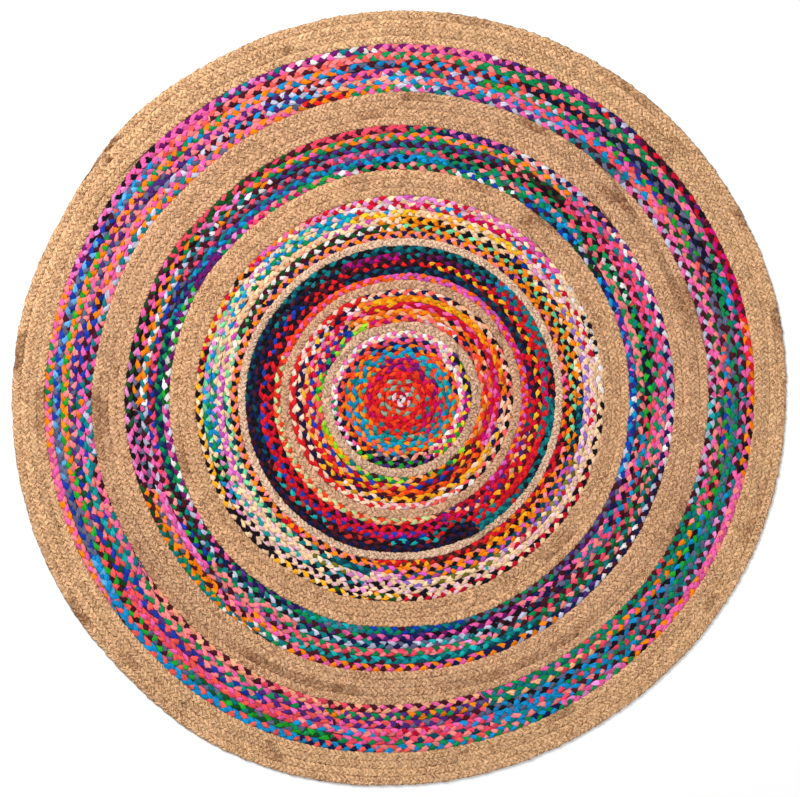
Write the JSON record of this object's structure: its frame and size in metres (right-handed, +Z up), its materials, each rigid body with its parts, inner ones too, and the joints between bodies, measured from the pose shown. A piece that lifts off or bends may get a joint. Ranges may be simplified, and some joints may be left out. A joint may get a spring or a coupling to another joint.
{
  "type": "round braided jute and cotton rug",
  "caption": "Round flat floor rug of plaited cotton strips and plaited jute, coiled in turn from the middle and sewn side by side.",
  "frame": {"origin": "on the surface that the rug lies on, under the middle of its outline's box", "axes": "+Z up out of the rug's face; +X to the right and +Y to the top of the face as it is seen from above"},
  "size_m": [1.8278, 1.8296, 0.009],
  "materials": {
    "cotton_1": "plaited strips of dyed cotton cloth, matt, many colours mixed",
    "cotton_2": "plaited strips of dyed cotton cloth, matt, many colours mixed",
    "cotton_3": "plaited strips of dyed cotton cloth, matt, many colours mixed",
    "cotton_4": "plaited strips of dyed cotton cloth, matt, many colours mixed",
    "cotton_5": "plaited strips of dyed cotton cloth, matt, many colours mixed",
    "cotton_6": "plaited strips of dyed cotton cloth, matt, many colours mixed",
    "jute_pale": "plaited jute yarn, pale straw, matt and a little hairy",
    "jute": "plaited jute yarn, golden tan with brown flecks, matt and a little hairy"
  },
  "bodies": {
    "root": {"cotton_1": "cotton_1", "jute_1": "jute_pale", "cotton_2": "cotton_2", "jute_2": "jute_pale", "cotton_3": "cotton_3", "jute_3": "jute_pale", "cotton_4": "cotton_4", "jute_4": "jute", "cotton_5": "cotton_5", "jute_5": "jute", "cotton_6": "cotton_6", "jute_6": "jute"}
  },
  "joints": []
}
